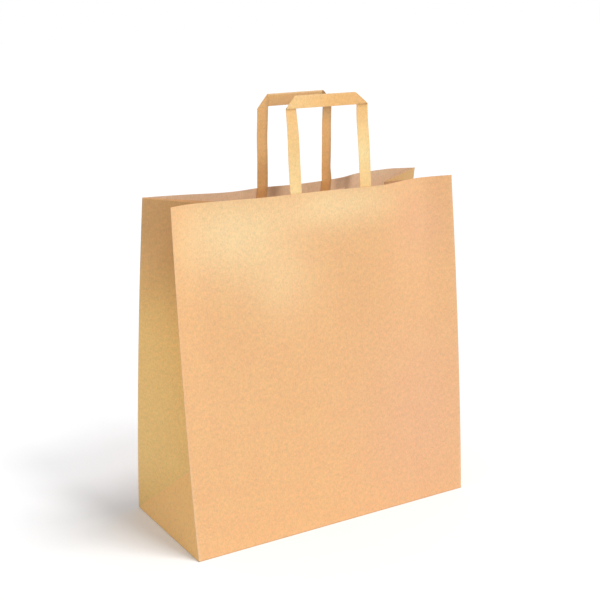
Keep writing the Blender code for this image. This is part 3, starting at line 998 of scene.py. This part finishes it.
def flat_handle(panel):
    """The strip in its own plane: x across, y up from the rim, z outward. Legs go down to the tuck."""
    mesh = bmesh.new()
    low = HANDLE_RISE - STRIP_WIDTH
    ends = []
    for side in (LEFT, RIGHT):
        outer = HANDLE_OFFSETS[panel] + side * (HANDLE_PITCH / 2 + STRIP_WIDTH / 2)
        row = [mesh.verts.new((outer - side * STRIP_WIDTH * i / STRIP_COLUMNS, -HANDLE_TUCK, 0.0))
               for i in range(STRIP_COLUMNS + 1)]
        edges = [mesh.edges.new(pair) for pair in zip(row, row[1:])]
        levels = list(np.linspace(-HANDLE_TUCK, 0.0, 12)[1:]) + list(np.linspace(0.0, low - 0.001, 20)[1:])
        for target in levels + ["fold"]:
            made = bmesh.ops.extrude_edge_only(mesh, edges=edges)["geom"]
            edges = [item for item in made if isinstance(item, bmesh.types.BMEdge)]
            for vert in {v for edge in edges for v in edge.verts}:
                share = abs(vert.co.x - outer) if target == "fold" else None
                vert.co.y = low + share if target == "fold" else target
        apart = STRIP_THICKNESS + CLEARANCE
        axis = Vector((-side, 1.0, 0.0)).normalized()
        turned = bmesh.ops.spin(mesh, geom=edges, cent=(outer, low, apart / 2), axis=axis,
                                angle=math.pi * side, steps=FOLD_STEPS, use_duplicate=False)
        ends.append([item for item in turned["geom_last"] if isinstance(item, bmesh.types.BMEdge)])
    bridge = bmesh.ops.bridge_loops(mesh, edges=ends[0] + ends[1])
    bmesh.ops.subdivide_edges(mesh, edges=bridge["edges"], cuts=BAR_CUTS, use_grid_fill=True)
    return mesh


trial = flat_handle(FRONT)
print("strip", len(trial.verts), "points,", len(trial.faces), "faces, thickness off the legs",
      round(max(v.co.z for v in trial.verts), 5))
trial.free()

# %% [markdown]
# ## Strips that were folded by hand and hung from one
# Soft paper keeps what was done to it. Each leg bows out of its plane at one height and is
# twisted a little, and the 45 degree folds are never quite square. Small moves of the strip's
# points say that, so each handle stays one mesh.

# %% Bows and twists
BENDS = {(FRONT, LEFT): (0.055, 0.0012), (FRONT, RIGHT): (0.066, -0.0014),
         (BACK, LEFT): (0.050, 0.0010), (BACK, RIGHT): (0.060, 0.0006)}
TWISTS = {(FRONT, LEFT): 0.10, (FRONT, RIGHT): 0.08, (BACK, LEFT): 0.06, (BACK, RIGHT): -0.10}
BEND_SPREAD = 0.016
BEND_START = 0.020
STRIP_LOW = HANDLE_RISE - STRIP_WIDTH


def up_the_leg(y):
    """0 at the rim and 1 under the bar."""
    return min(max(y / STRIP_LOW, 0.0), 1.0)


def bow_and_twist(panel, side, x, y):
    """Where x goes, and how far the point stands out of the strip's plane."""
    shift = 0.0
    if y > 0.0:
        height, amount = BENDS[panel, side]
        shift += amount * (math.exp(-((y - height) / BEND_SPREAD) ** 2)) * min(y / BEND_START, 1.0)
    if y < STRIP_LOW:
        middle = HANDLE_OFFSETS[panel] + side * HANDLE_PITCH / 2
        turned = TWISTS[panel, side] * math.sin(math.pi * up_the_leg(y))
        off = x - middle
        x = middle + off * math.cos(turned)
        shift += off * math.sin(turned)
    return x, shift


leg = HANDLE_OFFSETS[FRONT] + HANDLE_PITCH / 2
print("front right leg stands out", round(bow_and_twist(FRONT, RIGHT, leg, 0.066)[1], 5))

# %% Folds that aren't square
FRONT_TOP_SHIFT = 0.0015
FRONT_FOLD_SKEW = 0.0017
BACK_LEG_TAPER = 0.0020
BACK_CORNER_DROP = 0.0026
BACK_CORNER_REACH = 0.016
FADE_ALONG_BAR = 2.4


def settle(panel, side, x, y, outer):
    """Moves a point of the flat strip as the real strips were folded."""
    share = abs(x - outer) / STRIP_WIDTH
    rise = up_the_leg(y)
    along_bar = max(0.0, 1.0 - max(share - 1.0, 0.0) / FADE_ALONG_BAR)
    if (panel, side) == (BACK, RIGHT):
        x -= BACK_LEG_TAPER * (1.0 - min(share, 1.0)) * min(rise * 6, 1.0)
    if (panel, side) == (FRONT, LEFT):
        x -= FRONT_TOP_SHIFT * min(share, 1.0) * rise**2 * along_bar
    if (panel, side) == (FRONT, RIGHT) and y > STRIP_LOW:
        x -= FRONT_FOLD_SKEW * (y - STRIP_LOW) / STRIP_WIDTH * along_bar
    if (panel, side) == (BACK, LEFT):
        near_bar = min(max((y - STRIP_LOW + BACK_CORNER_REACH) / BACK_CORNER_REACH, 0.0), 1.0)
        y -= BACK_CORNER_DROP * max(0.0, 1.0 - share) * near_bar
    return x, y


corner = HANDLE_OFFSETS[BACK] - HANDLE_PITCH / 2 - STRIP_WIDTH / 2
print("back left corner goes to height", round(settle(BACK, LEFT, corner, STRIP_LOW, corner)[1], 4))

# %% [markdown]
# ## Shades along a strip
# A strip is pale where it faces the light and browner where it faces away. The top edge of the
# far bar is a fold that shines, and the leg is dark where it goes in under a bar. These soft
# changes are stored on the points as numbers from 0 to 1, and the material mixes them in.

# %% Hues of a strip
def strip_tints(panel, side, share, y, on_bar, right_share):
    """How much a point is bar, sunny and shaded. share goes from 0 to 1 across a leg."""
    rise = up_the_leg(y)
    if on_bar and panel == FRONT:
        left_end = 1.0 - min(right_share * 2, 1.0)
        return min(1.0, 0.35 + right_share), 0.25 * left_end, 0.15 * right_share**3
    if on_bar:
        level = min(max((y - STRIP_LOW) / STRIP_WIDTH, 0.0), 1.0)
        return 1.0, 0.0, 0.42 + 0.3 * right_share + 0.3 * (0.5 - level)
    if panel == FRONT:
        sunny = max(0.0, 1.0 - abs(rise - 0.42) / 0.38) if side == RIGHT else max(0.0, 0.7 - rise * 1.1)
        return max(0.0, rise - 0.75) * 2.5, sunny * (1.0 - 0.6 * abs(share - 0.35)), 0.0
    edge = max(0.0, share - 0.7) / 0.3
    top = max(0.0, rise - 0.72) / 0.28 if side == RIGHT else 0.0
    plain = 0.14 if side == RIGHT else 0.3
    return 1.0, 0.0, min(1.0, plain + 0.6 * edge + 0.9 * top)


print("front bar's left end", strip_tints(FRONT, LEFT, 0.5, HANDLE_RISE, True, 0.0))

# %% Dark lines and the shining lip
ON_TOP = 0.0004
DARK_FROM = 0.86


def strip_shadow_line(panel, side, x, y, z, outer):
    """1 on a line of painted shadow: under the bar, and at the top of the back right leg."""
    if abs(y - STRIP_LOW) < 0.0008 and z > ON_TOP and abs(x - outer) < STRIP_WIDTH:
        return 0.5 if side == RIGHT else 0.15
    if z < ON_TOP and (panel, side) == (BACK, RIGHT) and y < HANDLE_RISE:
        return 0.9 * min(max(0.0, y / STRIP_LOW - DARK_FROM) / (1.0 - DARK_FROM), 1.0)
    return 0.0


def strip_lip(panel, y, z):
    if z > 0.0005 and y > HANDLE_RISE - 0.0012:
        return 1.0 if panel == BACK else 0.4
    return 0.0


print("lip of the back bar", strip_lip(BACK, HANDLE_RISE, STRIP_THICKNESS + CLEARANCE))

# %% Set a handle in its panel
LEG_EASE = 0.006


def make_handle(name, panel, node):
    mesh = flat_handle(panel)
    sheet = mesh.loops.layers.uv.new("flat sheet")
    crease = mesh.verts.layers.float.new("crease")
    lip = mesh.verts.layers.float.new("lip")
    hues = [mesh.verts.layers.float.new(name) for name in ("bar", "sunny", "shaded")]
    origin, across, up, outward = handle_plane(panel)
    for face in mesh.faces:
        for loop in face.loops:
            loop[sheet].uv = (loop.vert.co.x + 0.05 * panel, loop.vert.co.y)
    places = np.array([vert.co[:] for vert in mesh.verts])
    inner = inside_place(panel, places[:, 0], HEIGHT + np.minimum(places[:, 1], 0.0), LEG_DEPTH)
    for vert, (x, y, z), inside in zip(mesh.verts, places, inner):
        side = LEFT if x < HANDLE_OFFSETS[panel] else RIGHT
        middle = HANDLE_OFFSETS[panel] + side * HANDLE_PITCH / 2
        outer = middle + side * STRIP_WIDTH / 2
        on_bar = z > ON_TOP or y > STRIP_LOW + abs(x - outer)
        share = (x - middle) / STRIP_WIDTH + 0.5
        right_share = (x - HANDLE_OFFSETS[panel]) / HANDLE_PITCH + 0.5
        vert[crease] = strip_shadow_line(panel, side, x, y, z, outer)
        vert[lip] = strip_lip(panel, y, z)
        for hue, value in zip(hues, strip_tints(panel, side, share, y, on_bar, right_share)):
            vert[hue] = value
        free = min(max(y / LEG_EASE, 0.0), 1.0)
        x, shift = bow_and_twist(panel, side, x, y)
        x, y = settle(panel, side, x, y, outer)
        above = origin + across * x + up * y + outward * (z + shift)
        vert.co = Vector(inside).lerp(above, free)
    bmesh.ops.recalc_face_normals(mesh, faces=mesh.faces[:])
    piece = finish_piece(mesh, name, (handle_paper,), STRIP_THICKNESS, offset=0.0)
    soften = piece.modifiers.new("soft edges", "BEVEL")
    soften.width = 0.00012
    soften.segments = 2
    soften.limit_method = "ANGLE"
    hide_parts(node)
    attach(piece, "root")
    return piece


front_handle = make_handle("front_paper_handle", FRONT, "front_handle")
back_handle = make_handle("back_paper_handle", BACK, "back_handle")
print("handles", len(front_handle.data.polygons), len(back_handle.data.polygons), "faces")

# %% [markdown]
# ## The patches
# A rectangle of paper is glued over each handle's legs, inside the bag. It lies flat on the
# panel, and stands off where it runs over a leg, with a soft step on both sides.

# %% Make the patches
PATCH_EASE = 0.006


def make_patch(name, panel, node):
    mesh = bmesh.new()
    centre = HANDLE_OFFSETS[panel]
    middle = HEIGHT - PATCH_DROP - PATCH_HEIGHT / 2
    place = sheet_matrix((centre, middle), (PATCH_WIDTH, PATCH_HEIGHT))
    bmesh.ops.create_grid(mesh, x_segments=96, y_segments=14, size=1.0, matrix=place)
    write_flat_uv(mesh)
    crease = mesh.verts.layers.float.new("crease")
    x, up = np.array([vert.co[:2] for vert in mesh.verts]).T
    beside = np.minimum(abs(x - centre - HANDLE_PITCH / 2), abs(x - centre + HANDLE_PITCH / 2))
    ease = np.clip((beside - STRIP_WIDTH / 2 - CLEARANCE) / PATCH_EASE, 0.0, 1.0)
    ease = ease**2 * (3 - 2 * ease)
    near = PAPER + CLEARANCE
    far = near + STRIP_THICKNESS + CLEARANCE
    places = inside_place(panel, x, up, far + (near - far) * ease)
    for vert, point, share in zip(mesh.verts, places, ease):
        vert.co = point
        vert[crease] = 1.0 if 0.0 < share < 0.12 else 0.0
    bmesh.ops.recalc_face_normals(mesh, faces=mesh.faces[:])
    facing = sum((face.normal * face.calc_area() for face in mesh.faces), Vector())
    if facing.y * panel < 0:
        bmesh.ops.reverse_faces(mesh, faces=mesh.faces[:])
    piece = finish_piece(mesh, name, (patch_paper,), PAPER)
    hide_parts(node)
    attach(piece, "root")
    return piece


front_patch = make_patch("front_glued_patch", FRONT, "front_handle_patch")
back_patch = make_patch("back_glued_patch", BACK, "back_handle_patch")
print("patches", len(front_patch.data.polygons), len(back_patch.data.polygons), "faces")

# %% [markdown]
# ## Finish
# The finished bag has to be as large as the imported model. Last, the scene is brought up to date.

# %% Update the scene
bpy.context.view_layer.update()
